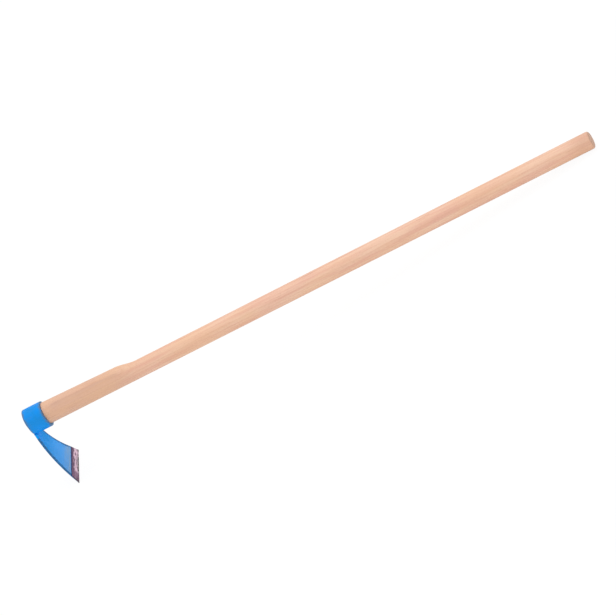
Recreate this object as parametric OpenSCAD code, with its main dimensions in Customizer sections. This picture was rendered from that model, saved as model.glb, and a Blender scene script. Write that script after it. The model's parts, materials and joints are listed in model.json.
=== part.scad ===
// Eye hoe: a round beech handle with a raised oval head part, wedged into a welded steel head whose
// eye is an oval ring and whose blade is a curved fan with a ground edge.
//
// The tool is drawn along its own handle: X runs from the eye to the grip, Y is sideways and Z points
// away from the blade. It is then laid down on its cutting edge and on the end of its handle.

/* [Handle] */
// Length of the handle, end to end
handle_length = 1200; // [900:10:1500]
// Diameter of the round shaft
shaft_d = 34; // [30:0.5:42]
// Rounding of the grip end
butt_round = 5; // [3:0.5:12]
// Length of the raised head part, behind the eye
head_length = 158; // [100:1:240]
// Height left of the raised part where its shoulder begins
step_rise = 7.1; // [3:0.5:9]
// Length of the shoulder that runs down to the round shaft
shoulder_length = 44; // [25:1:90]
// Height by which the head part stands over the eye's opening, as a stop
stop_height = 1.9; // [0.8:0.1:4]
// Depth to which the end in the eye is shaved below the shaft
tenon_shave = 0.4; // [0.2:0.1:1]
// Length of the end that stands out of the eye
end_proud = 1.5; // [0.5:0.1:4]

/* [Eye ring] */
// Length of the ring along the handle
eye_length = 39.5; // [28:0.5:55]
// Wall of the ring
eye_wall = 5.4; // [4:0.1:8]
// Height by which the oval eye is taller than it is wide
eye_rise = 9.1; // [6:0.1:14]
// Clearance between the handle and the ring
eye_clearance = 0.1; // [0.05:0.01:0.3]

/* [Blade] */
// Depth of the cutting edge below the middle of the shaft
blade_drop = 135; // [110:0.5:180]
// Width of the cutting edge
edge_width = 104; // [80:1:150]
// Step at each side from the ring in to the neck of the blade
neck_step = 2.7; // [1:0.1:5]
// Depth by which each side of the blade is hollow
side_hollow = 2.8; // [1:0.1:6]
// Radius of the blade's curved front
bend_r = 275; // [200:5:500]
// Thickness of the plate at the ring
root_thickness = 4.5; // [3.5:0.1:6]
// Thickness of the plate at the cutting edge, before grinding
edge_thickness = 2.8; // [2:0.1:3.4]
// Width of the ground bevel
bevel_width = 19; // [8:0.5:25]
// Width of the flat that is left on the cutting edge
edge_land = 0.5; // [0.3:0.1:1]

/* [Welds] */
// Radius of the bead in the corner behind the blade
inner_bead_r = 4; // [2:0.1:6]
// Radius of the bead on the front of the ring
outer_bead_r = 2.6; // [1.8:0.1:4]
// Gap between the ring and the plate, which the beads bridge
weld_gap = 0.1; // [0.05:0.01:0.3]
// Half of the arc that the beads run round the ring, in degrees
bead_half_arc = 40; // [25:1:45]

/* [Wedges] */
// Depth to which the wooden wedge is driven
wedge_length = 30; // [18:0.5:36]
// Thickness of the wooden wedge at the end of the handle
wedge_thickness = 5; // [3:0.1:7]
// Thickness of its tip
wedge_tip = 1.2; // [0.6:0.1:2]
// Width of the steel wedge that crosses it
steel_wedge_width = 22; // [14:0.5:26]
// Depth to which the steel wedge is driven
steel_wedge_length = 20; // [12:0.5:26]
// Thickness of the steel wedge at its head
steel_wedge_thickness = 3.2; // [2:0.1:4]
// Thickness of the steel wedge at its tip
steel_wedge_tip = 0.8; // [0.5:0.1:1.5]
// Height of the steel wedge's head over the wood
steel_wedge_proud = 0.6; // [0.2:0.1:1.5]

/* [Hidden] */
$fn = 96;
// Extra length of every cut past the face that it opens
overrun = 2;
// Depth to which one part of the handle runs inside the next
embed = 6;
// Inset that keeps the embedded end of the shoulder under the shaft's surface
embed_inset = 0.15;
// Points round each section of the handle's head, and sections in its shoulder
loft_sides = 64;
shoulder_steps = 12;
// Top of the plate beside the ring, as a share of the ring's outer radius below the shaft
horn_top_share = 0.72;

wood_colour = [0.87, 0.69, 0.60];
wedge_colour = [0.80, 0.64, 0.48];
enamel_colour = [0.16, 0.55, 0.88];
steel_colour = [0.62, 0.60, 0.62];

// Handle and eye, across
shaft_r = shaft_d / 2;
tenon_r = shaft_r - tenon_shave;
eye_inner_r = tenon_r + eye_clearance;
eye_outer_r = eye_inner_r + eye_wall;
head_rise = eye_rise + stop_height;

// Handle, along: the eye's front plane is at 0
butt_x = handle_length - end_proud;
head_x = eye_length + eye_clearance;
step_x = head_x + head_length;
shaft_x = step_x + shoulder_length;

// Blade, seen from the side: both faces are arcs that stand square to the handle under the ring
reach = blade_drop - eye_outer_r;
plate_height = blade_drop - eye_outer_r * horn_top_share;
edge_angle = asin(reach / bend_r);
edge_x = bend_r * (1 - cos(edge_angle));
inner_end = [
    edge_x + edge_thickness * cos(edge_angle) - root_thickness,
    edge_thickness * sin(edge_angle) - reach
];
inner_r = (inner_end.x * inner_end.x + inner_end.y * inner_end.y) / (2 * inner_end.x);
outer_centre = [bend_r, -eye_outer_r];
inner_centre = [root_thickness + inner_r, -eye_outer_r];

// Ground bevel: it starts on the inner face, one bevel width from the edge along the arc
bevel_angle = edge_angle - bevel_width / bend_r * 180 / PI;
bevel_normal = [cos(bevel_angle), sin(bevel_angle)];
bevel_foot = outer_centre - bend_r * bevel_normal;
bevel_start = bevel_foot + plate_thickness(bevel_angle) * bevel_normal;
edge_point = [edge_x + edge_land, -blade_drop];
bevel_run = (edge_point - bevel_start) / norm(edge_point - bevel_start);
bevel_out = [-bevel_run.y, bevel_run.x];

// Blade, seen from the handle: the sides are hollow arcs from the neck to the corners of the edge
neck_half = eye_outer_r - neck_step;
neck_corner = [neck_half, -eye_outer_r];
edge_corner = [edge_width / 2, -blade_drop];
side_chord = edge_corner - neck_corner;
side_out = [-side_chord.y, side_chord.x] / norm(side_chord);
side_r = (side_chord * side_chord / 4 + side_hollow * side_hollow) / (2 * side_hollow);
side_centre = (neck_corner + edge_corner) / 2 + (side_r - side_hollow) * side_out;
blank_width = edge_width + 2 * overrun;

// Back of the inner bead: the furthest that the blade's inner face bends away behind it
bead_span = max(inner_bead_r, eye_outer_r * (1 - cos(bead_half_arc)));
bead_back = root_thickness + bead_span * bead_span / (2 * inner_r);

// Lying down: the angle at which the cutting edge and the rounded grip end touch the same floor
rest_run = butt_x - butt_round - edge_point.x;
rest_rise = blade_drop - shaft_r + butt_round;
rest_span = norm([rest_run, rest_rise]);
lie_angle = atan2(rest_rise, rest_run) - asin(butt_round / rest_span);
lie_lift = edge_point.x * sin(lie_angle) + blade_drop * cos(lie_angle);
lie_back = bend_r * (cos(lie_angle) - 1) - eye_outer_r * sin(lie_angle);
lie_front = (butt_x - butt_round) * cos(lie_angle) + (shaft_r - butt_round) * sin(lie_angle) + butt_round;
lie_middle = (lie_back + lie_front) / 2;

// Thickness of the plate along the normal of its front face at an angle of the bend
function plate_thickness(angle) =
    let (
        normal = [cos(angle), sin(angle)],
        from_centre = outer_centre - bend_r * normal - inner_centre,
        along = from_centre * normal
    )
    -along - sqrt(along * along - from_centre * from_centre + inner_r * inner_r);

// One oval section of the head: a point for each side
function head_section(x, radius, rise) = [
    for (i = [0 : loft_sides - 1])
        let (turn = 360 * (i + 0.5) / loft_sides)
        [x, radius * cos(turn), radius * sin(turn) + (sin(turn) > 0 ? rise : 0)]
];

// Faces of a loft through equal rings of points
function loft_faces(rings) = concat(
    [[for (i = [0 : loft_sides - 1]) i]],
    [[for (i = [loft_sides - 1 : -1 : 0]) (rings - 1) * loft_sides + i]],
    [
        for (ring = [0 : rings - 2], i = [0 : loft_sides - 1], half = [0, 1])
            let (
                next = (i + 1) % loft_sides,
                low = ring * loft_sides,
                high = low + loft_sides
            )
            half == 0 ? [low + i, high + i, high + next] : [low + i, high + next, low + next]
    ]
);

// Lays the tool on the floor, over the middle of its own box
module laid() {
    translate([-lie_middle, 0, lie_lift])
        rotate([0, lie_angle, 0])
            children();
}

// Extrudes a YZ outline along X from a start
module along_x(start, length) {
    translate([start, 0, 0])
        rotate([90, 0, 90])
            linear_extrude(length)
                children();
}

// Extrudes an XZ outline sideways, evenly about the middle
module across(width) {
    translate([0, width / 2, 0])
        rotate([90, 0, 0])
            linear_extrude(width)
                children();
}

// Oval outline: a circle on the shaft's axis joined to one raised above it
module oval(radius, rise) {
    circle(radius);
    translate([0, rise])
        circle(radius);
    translate([-radius, 0])
        square([2 * radius, rise]);
}

// End of the handle that fills the eye
module tenon() {
    along_x(-end_proud, eye_length + end_proud + embed)
        oval(tenon_r, eye_rise);
}

// Raised head, from the stop behind the eye down its shoulder to the round shaft
module raised_head() {
    sections = concat(
        [head_section(head_x, shaft_r, head_rise)],
        [
            for (i = [0 : shoulder_steps])
                let (share = i / shoulder_steps)
                head_section(
                    step_x + shoulder_length * share,
                    shaft_r - embed_inset * share,
                    step_rise * (1 + cos(180 * share)) / 2
                )
        ],
        [head_section(shaft_x + embed, shaft_r - embed_inset, 0)]
    );
    polyhedron([for (ring = sections) each ring], loft_faces(len(sections)));
}

// Round shaft with its rounded grip end
module shaft() {
    translate([shaft_x, 0, 0])
        rotate([0, 90, 0])
            cylinder(h = butt_x - butt_round - shaft_x, r = shaft_r);
    translate([butt_x - butt_round, 0, 0])
        rotate([0, 90, 0])
            rotate_extrude()
                butt_profile();
}

// Half section of the grip end: a quarter circle over a flat end
module butt_profile() {
    translate([0, -embed])
        square([shaft_r - embed_inset, embed]);
    square([shaft_r - butt_round, butt_round]);
    intersection() {
        translate([shaft_r - butt_round, 0])
            circle(butt_round);
        square([shaft_r, butt_round]);
    }
}

// Wedge shape along X, thick in the outline's second direction: from its head to its tip
module wedge_outline(length, head, tip, extra) {
    slope = (head - tip) / (2 * length);
    polygon([
        [-end_proud - extra, head / 2 + slope * extra],
        [-end_proud - extra, -head / 2 - slope * extra],
        [length - end_proud, -tip / 2],
        [length - end_proud, tip / 2]
    ]);
}

// Wooden wedge, upright through the whole height of the handle's end
module wood_wedge_body(extra) {
    translate([0, 0, -shaft_r - overrun])
        linear_extrude(shaft_d + eye_rise + 2 * overrun)
            wedge_outline(wedge_length, wedge_thickness, wedge_tip, extra);
}

// Steel wedge, flat across the middle of the oval
module steel_wedge_body(extra) {
    translate([0, 0, eye_rise / 2])
        across(steel_wedge_width)
            wedge_outline(steel_wedge_length, steel_wedge_thickness, steel_wedge_tip, extra);
}

module handle() {
    color(wood_colour)
        laid()
            difference() {
                union() {
                    tenon();
                    raised_head();
                    shaft();
                }
                wood_wedge_body(overrun);
                steel_wedge_body(overrun);
            }
}

module eye_ring() {
    color(enamel_colour)
        laid()
            along_x(0, eye_length)
                difference() {
                    oval(eye_outer_r, eye_rise);
                    oval(eye_inner_r, eye_rise);
                }
}

// Space that the ring takes up, running on past both of its ends
module eye_space(gap) {
    along_x(-eye_length, 3 * eye_length)
        oval(eye_outer_r + gap, eye_rise);
}

// Side view of the fan: two arcs that draw together towards the edge
module fan_profile() {
    difference() {
        intersection() {
            translate(outer_centre)
                circle(bend_r, $fn = 360);
            translate([-overrun, -blade_drop])
                square([bend_r, plate_height]);
        }
        translate(inner_centre)
            circle(inner_r, $fn = 360);
    }
}

// Front view of the fan, with its hollow sides
module fan_outline() {
    difference() {
        translate([-blank_width / 2, -blade_drop - overrun])
            square([blank_width, plate_height + 2 * overrun]);
        for (side = [-1, 1])
            translate([side * side_centre.x, side_centre.y])
                circle(side_r, $fn = 720);
    }
}

// What the grindstone takes off the inner face
module bevel_cut() {
    top = bevel_start - overrun * bevel_run;
    foot = edge_point + overrun * bevel_run;
    polygon([top, foot, foot + bevel_width * bevel_out, top + bevel_width * bevel_out]);
}

// Ground plate, cut out at the top to sit round the ring's lower side
module blade_body() {
    difference() {
        intersection() {
            across(blank_width)
                fan_profile();
            along_x(-overrun, bend_r)
                fan_outline();
        }
        across(blank_width + overrun)
            bevel_cut();
        eye_space(weld_gap);
    }
}

module blade() {
    color(enamel_colour)
        laid()
            blade_body();
}

// Bead of weld round the lower side of the ring, at a place along the ring
module bead(place, radius) {
    translate([place, 0, 0])
        rotate([0, 90, 0])
            rotate([0, 0, -bead_half_arc])
                rotate_extrude(angle = 2 * bead_half_arc)
                    translate([eye_outer_r, 0])
                        circle(radius);
}

module inner_weld() {
    color(enamel_colour)
        laid()
            difference() {
                bead(root_thickness, inner_bead_r);
                eye_space(0);
                along_x(-eye_length, eye_length + bead_back)
                    square(4 * eye_outer_r, center = true);
            }
}

module outer_weld() {
    color(enamel_colour)
        laid()
            difference() {
                bead(0, outer_bead_r);
                along_x(0, eye_length)
                    square(4 * eye_outer_r, center = true);
                blade_body();
            }
}

module wood_wedge() {
    color(wedge_colour)
        laid()
            difference() {
                intersection() {
                    wood_wedge_body(0);
                    tenon();
                }
                steel_wedge_body(overrun);
            }
}

module steel_wedge() {
    color(steel_colour)
        laid()
            steel_wedge_body(steel_wedge_proud);
}

handle();
eye_ring();
blade();
inner_weld();
outer_weld();
wood_wedge();
steel_wedge();
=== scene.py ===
"""Looks of an eye hoe: a beech handle wedged into a blue enamelled head with a ground cutting edge.

Every piece is drawn in the tool's own frame, in metres: X runs along the handle from the front of the
eye to the grip, Y is sideways and Z points away from the blade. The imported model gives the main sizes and
says how the tool lies on the floor, so one matrix puts all the pieces where their parts are.
"""

import json
import logging
import math
from dataclasses import dataclass
from enum import Enum
from typing import Callable, NamedTuple, Sequence

import bmesh
import bpy
from mathutils import Matrix, Vector

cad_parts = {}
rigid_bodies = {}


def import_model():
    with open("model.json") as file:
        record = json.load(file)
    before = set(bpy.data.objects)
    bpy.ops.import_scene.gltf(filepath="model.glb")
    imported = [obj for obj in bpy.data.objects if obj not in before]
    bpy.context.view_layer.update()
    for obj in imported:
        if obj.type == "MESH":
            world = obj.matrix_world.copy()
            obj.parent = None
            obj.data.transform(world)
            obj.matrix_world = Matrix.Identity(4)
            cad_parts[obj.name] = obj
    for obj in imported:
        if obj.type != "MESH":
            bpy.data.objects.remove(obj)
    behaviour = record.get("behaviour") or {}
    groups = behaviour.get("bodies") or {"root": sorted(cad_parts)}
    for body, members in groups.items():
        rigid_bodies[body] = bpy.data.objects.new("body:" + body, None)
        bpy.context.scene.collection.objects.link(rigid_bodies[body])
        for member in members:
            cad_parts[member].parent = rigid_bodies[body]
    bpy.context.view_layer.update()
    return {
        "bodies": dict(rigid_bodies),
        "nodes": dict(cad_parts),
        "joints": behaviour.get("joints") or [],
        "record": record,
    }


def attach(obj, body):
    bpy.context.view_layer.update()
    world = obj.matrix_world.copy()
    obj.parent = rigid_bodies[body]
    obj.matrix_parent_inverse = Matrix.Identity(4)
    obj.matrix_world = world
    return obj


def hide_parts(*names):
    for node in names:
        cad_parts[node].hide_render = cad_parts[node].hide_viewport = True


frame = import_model()

LOG = logging.getLogger("eye_hoe")
GRIP_MOUNT = "shaft_grip"
BODY = "root"
MILLIMETRE = 0.001

Point = tuple[float, float, float]
Pair = tuple[float, float]
Colour = tuple[float, float, float, float]
Ring = list[Point]
Socket = bpy.types.NodeSocket
Input = float | Sequence[float] | Socket
Inputs = dict[str | int, Input]

WHITE: Colour = (1.0, 1.0, 1.0, 1.0)
FULL: Pair = (0.0, 1.0)
SRGB_SLOPE, SRGB_TOE, SRGB_OFFSET, SRGB_POWER = 12.92, 0.04045, 0.055, 2.4


class Part(Enum):
    """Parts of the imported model, each with the material slot that its finish belongs to."""

    HANDLE = ("handle", "handle_wood")
    EYE_RING = ("eye_ring", "blue_enamel")
    BLADE = ("blade", "blue_enamel")
    INNER_WELD = ("inner_weld", "blue_enamel")
    OUTER_WELD = ("outer_weld", "blue_enamel")
    WOOD_WEDGE = ("wood_wedge", "wedge_wood")
    STEEL_WEDGE = ("steel_wedge", "bare_steel")

    @property
    def node(self) -> str:
        """Gives the part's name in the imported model."""
        return self.value[0]

    @property
    def slot(self) -> str:
        """Gives the name of the part's material slot."""
        return self.value[1]


class Mark(Enum):
    """Values that a mesh carries on its points for its finish."""

    RIM = "rim"
    GROUND = "ground"
    PLANED = "planed"


class Mix(Enum):
    """Kinds of mixing node, each with the places of its two inputs and of its output."""

    COLOUR = ("RGBA", 6, 7, 2)
    VALUE = ("FLOAT", 2, 3, 0)


Marks = dict[Mark, Callable[[Vector], float]]


def srgb(red: int, green: int, blue: int) -> Colour:
    """Turns a colour as a screen shows it into the linear colour that a shader takes.

    Args:
        red: Red from 0 to 255.
        green: Green from 0 to 255.
        blue: Blue from 0 to 255.

    Returns:
        The linear colour, opaque.
    """
    shares = (value / 255 for value in (red, green, blue))
    linear = [
        s / SRGB_SLOPE if s <= SRGB_TOE else ((s + SRGB_OFFSET) / (1 + SRGB_OFFSET)) ** SRGB_POWER
        for s in shares
    ]
    return (linear[0], linear[1], linear[2], 1.0)


def smooth_share(value: float, low: float, high: float) -> float:
    """Eases from 0 at low to 1 at high."""
    share = min(1.0, max(0.0, (value - low) / (high - low)))
    return share * share * (3 - 2 * share)


@dataclass(frozen=True)
class Pattern:
    """A noise over a surface.

    Attributes:
        scale: Features in one unit of the coordinate, along each axis.
        detail: How many finer layers it has.
        roughness: How strong the finer layers are.
        edges: Values between which it is cut to a mask, where it is one.
    """

    scale: Point
    detail: float = 2.0
    roughness: float = 0.5
    edges: Pair | None = None


class Surface(NamedTuple):
    """What changes over a finished surface."""

    colour: Input
    roughness: Input
    metallic: Input
    height: Input


class Graph:
    """A node tree under construction, with short calls that place nodes and link them."""

    def __init__(self, tree: bpy.types.NodeTree) -> None:
        """Takes over a tree and empties it."""
        self.tree = tree
        tree.nodes.clear()

    def feed(self, socket: Socket, value: Input) -> None:
        """Links a socket to another one, or sets its plain value.

        Args:
            socket: The socket that takes the value.
            value: Another socket, a number or a row of numbers.
        """
        if isinstance(value, bpy.types.NodeSocket):
            self.tree.links.new(value, socket)
        else:
            socket.default_value = value

    def add(self, kind: str, inputs: Inputs | None = None, **settings: object) -> bpy.types.Node:
        """Places a shader node.

        Args:
            kind: Blender's name for the node's type, without its usual beginning.
            inputs: What goes into the node, by the input's name or place.
            settings: The node's own options.

        Returns:
            The new node.
        """
        node = self.tree.nodes.new(f"ShaderNode{kind}")
        for name, value in settings.items():
            setattr(node, name, value)
        for key, value in (inputs or {}).items():
            self.feed(node.inputs[key], value)
        return node

    def math(self, operation: str, first: Input, second: Input = 0.0, third: Input = 0.0) -> Socket:
        """Works out a sum of up to three values."""
        return self.add("Math", {0: first, 1: second, 2: third}, operation=operation).outputs[0]

    def vector(self, operation: str, *terms: Input) -> bpy.types.NodeOutputs:
        """Works out a sum of vectors and gives its outputs."""
        return self.add("VectorMath", dict(enumerate(terms)), operation=operation).outputs

    def stretch(self, vector: Input, scale: Point) -> Socket:
        """Scales a coordinate along each axis."""
        return self.add("Mapping", {"Vector": vector, "Scale": scale}).outputs[0]

    def axis(self, vector: Input, name: str) -> Socket:
        """Picks one axis of a coordinate."""
        return self.add("SeparateXYZ", {0: vector}).outputs[name]

    def step(self, value: Input, edges: Pair, results: Pair = FULL) -> Socket:
        """Eases a value from the first of two results to the second as it crosses from edge to edge.

        Args:
            value: The value.
            edges: Where the step begins and ends.
            results: What comes out at each edge.

        Returns:
            The eased value.
        """
        inputs = {
            "Value": value,
            "From Min": edges[0],
            "From Max": edges[1],
            "To Min": results[0],
            "To Max": results[1],
        }
        return self.add("MapRange", inputs, interpolation_type="SMOOTHSTEP").outputs[0]

    def pattern(self, vector: Input, pattern: Pattern) -> Socket:
        """Places a noise.

        Args:
            vector: The coordinate that it follows.
            pattern: What it looks like.

        Returns:
            Its value, from 0 to 1.
        """
        inputs = {
            "Vector": self.stretch(vector, pattern.scale),
            "Scale": 1.0,
            "Detail": pattern.detail,
            "Roughness": pattern.roughness,
        }
        value = self.add("TexNoise", inputs).outputs["Fac"]
        return value if pattern.edges is None else self.step(value, pattern.edges)

    def mix(self, kind: Mix, factor: Input, first: Input, second: Input) -> Socket:
        """Goes from the first of two colours or values to the second as a factor goes from 0 to 1."""
        data_type, low, high, out = kind.value
        return self.add("Mix", {0: factor, low: first, high: second}, data_type=data_type).outputs[out]

    def blend(self, factor: Input, first: Input, second: Input) -> Socket:
        """Mixes two colours."""
        return self.mix(Mix.COLOUR, factor, first, second)

    def glaze(self, base: Input, mask: Input, share: float, colour: Input) -> Socket:
        """Lays a share of a colour over another one where a mask says so."""
        return self.blend(self.math("MULTIPLY", mask, share), base, colour)

    def between(self, factor: Input, first: Input, second: Input) -> Socket:
        """Mixes two values."""
        return self.mix(Mix.VALUE, factor, first, second)

    def jitter(self, value: Input, noise: Input, reach: float) -> Socket:
        """Moves a value up and down by a noise, as far as a reach either way."""
        return self.math("SUBTRACT", self.math("MULTIPLY_ADD", noise, 2 * reach, value), reach)


class Canvas(Graph):
    """The nodes of one material, with the tool's own coordinate."""

    def __init__(self, name: str, lie: Matrix) -> None:
        """Makes the material.

        Args:
            name: The material's name.
            lie: The matrix that lays the tool down.
        """
        self.material = bpy.data.materials.new(name)
        self.material.use_nodes = True
        super().__init__(self.material.node_tree)
        inputs = {
            "Vector": self.add("TexCoord").outputs["Object"],
            "Location": lie.to_translation(),
            "Rotation": lie.to_euler(),
        }
        self.place = self.add("Mapping", inputs, vector_type="TEXTURE").outputs[0]

    def mark(self, mark: Mark) -> Socket:
        """Reads a value that the mesh carries."""
        return self.add("Attribute", attribute_name=mark.value).outputs["Fac"]

    def effect(self, tree: bpy.types.NodeTree, inputs: Inputs) -> bpy.types.NodeOutputs:
        """Places a shared effect with its own values over the tool's coordinate, and gives its outputs."""
        return self.add("Group", {"Vector": self.place} | inputs, node_tree=tree).outputs


@dataclass
class Effects:
    """Surface effects that several finishes share, each built once as a node group."""

    lie: Matrix
    wander: Point = (3.0, 9.0, 9.0)
    wander_reach: float = 0.0045
    late_growth: float = 2.2
    late_edges: Pair = (1.0, 0.9)
    streaks: Pattern = Pattern((7.0, 150.0, 150.0), 3.0, 0.6, (0.34, 0.68))
    fibres: Pattern = Pattern((22.0, 900.0, 900.0), 4.0, 0.6)
    veins: Pattern = Pattern((16.0, 330.0, 330.0), 2.0, 0.55, (0.69, 0.76))
    flecks: Pattern = Pattern((260.0, 2300.0, 2300.0), 1.0, 0.5, (0.66, 0.74))
    fibre_height: float = 0.7
    fleck_depth: float = 0.6
    flakes: Pattern = Pattern((1.0, 1.0, 1.0), 5.0, 0.65)
    chip_edges: Pair = (1.06, 1.14)
    rubbing: Pattern = Pattern((0.4, 0.4, 0.4), 4.0, 0.55)
    thin_edges: Pair = (0.62, 1.0)
    bands: Pattern = Pattern((1.0, 0.05, 1.0), 4.0, 0.62, (0.36, 0.64))
    band_height: float = 0.6
    scratches: Pattern = Pattern((6.0, 0.3, 6.0), 3.0, 0.7)
    scratch_height: float = 0.5
    patches: Pattern = Pattern((1.0, 1.0, 1.0), 3.0, 0.6, (0.35, 0.7))

    def __post_init__(self) -> None:
        """Builds all the groups."""
        vector, value = "NodeSocketVector", "NodeSocketFloat"
        wood = {"Vector": vector, "Pith": vector, "Ring Spacing": value}
        wear = {"Vector": vector, "Rim": value, "Amount": value, "Chip Scale": value}
        self.wood_grain = self._group("wood_grain", wood, self._fill_wood_grain)
        self.edge_wear_and_shade = self._group("edge_wear_and_shade", wear, self._fill_edge_wear)
        self.grind_marks = self._group(
            "grind_marks", {"Vector": vector, "Band Scale": value}, self._fill_grind_marks
        )
        self.handling = self._group("handling", {"Vector": vector, "Patch Scale": value}, self._fill_handling)

    @staticmethod
    def _group(
        name: str,
        inputs: dict[str, str],
        fill: Callable[[Graph, bpy.types.NodeOutputs], dict[str, Socket]],
    ) -> bpy.types.NodeTree:
        """Makes a group.

        Args:
            name: The group's name.
            inputs: Kind of each input socket, by name.
            fill: Places the group's nodes and gives its results by name, which are all values.

        Returns:
            The group.
        """
        tree = bpy.data.node_groups.new(name, "ShaderNodeTree")
        for label, kind in inputs.items():
            tree.interface.new_socket(name=label, in_out="INPUT", socket_type=kind)
        graph = Graph(tree)
        results = fill(graph, tree.nodes.new("NodeGroupInput").outputs)
        for label in results:
            tree.interface.new_socket(name=label, in_out="OUTPUT", socket_type="NodeSocketFloat")
        end = tree.nodes.new("NodeGroupOutput")
        for label, value in results.items():
            graph.feed(end.inputs[label], value)
        return tree

    def _fill_wood_grain(self, graph: Graph, given: bpy.types.NodeOutputs) -> dict[str, Socket]:
        """Places solid wood with its fibres along X: growth rings round a pith, streaks, fibres and flecks.

        Args:
            graph: The group's graph.
            given: The group's inputs.

        Returns:
            The results by name.
        """
        place, reach = given["Vector"], self.wander_reach
        wander = graph.add("TexNoise", {"Vector": graph.stretch(place, self.wander), "Scale": 1.0})
        drift = graph.vector("MULTIPLY_ADD", wander.outputs["Color"], [2 * reach] * 3, [-reach] * 3)[0]
        moved = graph.vector("ADD", graph.vector("SUBTRACT", place, given["Pith"])[0], drift)[0]
        radius = graph.vector("LENGTH", graph.stretch(moved, (0.0, 1.0, 1.0)))["Value"]
        phase = graph.math("FRACT", graph.math("DIVIDE", radius, given["Ring Spacing"]))
        darkening = graph.math("POWER", phase, self.late_growth)
        fibre = graph.pattern(place, self.fibres)
        fleck = graph.pattern(place, self.flecks)
        raised = graph.math("MULTIPLY", fibre, self.fibre_height)
        return {
            "Ring": graph.math("MULTIPLY", darkening, graph.step(phase, self.late_edges)),
            "Streak": graph.pattern(place, self.streaks),
            "Fibre": fibre,
            "Vein": graph.pattern(place, self.veins),
            "Fleck": fleck,
            "Height": graph.math("MULTIPLY_ADD", fleck, -self.fleck_depth, raised),
        }

    def _fill_edge_wear(self, graph: Graph, given: bpy.types.NodeOutputs) -> dict[str, Socket]:
        """Places paint that is rubbed thin and chipped along the edges that a mesh marks as its rim; on some
        rims the darker thin paint also stands for painted shade.

        Args:
            graph: The group's graph.
            given: The group's inputs.

        Returns:
            The results by name.
        """
        place = graph.vector("MULTIPLY", given["Vector"], given["Chip Scale"])[0]
        reach = graph.math("MULTIPLY", given["Rim"], given["Amount"])
        flaked = graph.math("ADD", reach, graph.pattern(place, self.flakes))
        rubbed = graph.math("ADD", reach, graph.pattern(place, self.rubbing))
        return {"Chips": graph.step(flaked, self.chip_edges), "Thin And Shade": graph.step(rubbed, self.thin_edges)}

    def _fill_grind_marks(self, graph: Graph, given: bpy.types.NodeOutputs) -> dict[str, Socket]:
        """Places the bands and scratches that a grindstone leaves along Y.

        Args:
            graph: The group's graph.
            given: The group's inputs.

        Returns:
            The results by name.
        """
        place = graph.vector("MULTIPLY", given["Vector"], given["Band Scale"])[0]
        bands, scratches = graph.pattern(place, self.bands), graph.pattern(place, self.scratches)
        raised = graph.math("MULTIPLY", scratches, self.scratch_height)
        height = graph.math("MULTIPLY_ADD", bands, self.band_height, raised)
        return {"Bands": bands, "Scratches": scratches, "Height": height}

    def _fill_handling(self, graph: Graph, given: bpy.types.NodeOutputs) -> dict[str, Socket]:
        """Places faint uneven dulling from storage and handling."""
        place = graph.vector("MULTIPLY", given["Vector"], given["Patch Scale"])[0]
        return {"Patches": graph.pattern(place, self.patches)}


@dataclass(frozen=True)
class Finish:
    """What every finish has: a name, an even gloss and the depth of its relief."""

    name: str
    specular: float = 0.5
    relief_depth: float = 0.0003
    relief_strength: float = 0.5

    def surface(self, canvas: Canvas, effects: Effects) -> Surface:
        """Places the nodes of the finish: each kind has its own."""
        raise NotImplementedError(self.name)

    def material(self, effects: Effects) -> bpy.types.Material:
        """Builds the finish as a material.

        Args:
            effects: The shared effects.

        Returns:
            The new material.
        """
        canvas = Canvas(self.name, effects.lie)
        surface = self.surface(canvas, effects)
        relief = {
            "Height": surface.height,
            "Distance": self.relief_depth,
            "Strength": self.relief_strength,
        }
        inputs = {
            "Base Color": surface.colour,
            "Roughness": surface.roughness,
            "Metallic": surface.metallic,
            "Specular IOR Level": self.specular,
            "Normal": canvas.add("Bump", relief).outputs[0],
        }
        shader = canvas.add("BsdfPrincipled", inputs)
        canvas.add("OutputMaterial", {"Surface": shader.outputs[0]})
        return canvas.material


@dataclass(frozen=True)
class WoodFinish(Finish):
    """What both woods have: growth rings at a spacing, round a pith."""

    pith: Point = (0.0, 0.0, 0.0)
    ring_spacing: float = 0.003
    roughness_edges: Pair = (0.2, 0.8)

    def grain(self, canvas: Canvas, effects: Effects) -> bpy.types.NodeOutputs:
        """Places the grain of this wood."""
        return canvas.effect(effects.wood_grain, {"Pith": self.pith, "Ring Spacing": self.ring_spacing})


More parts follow.
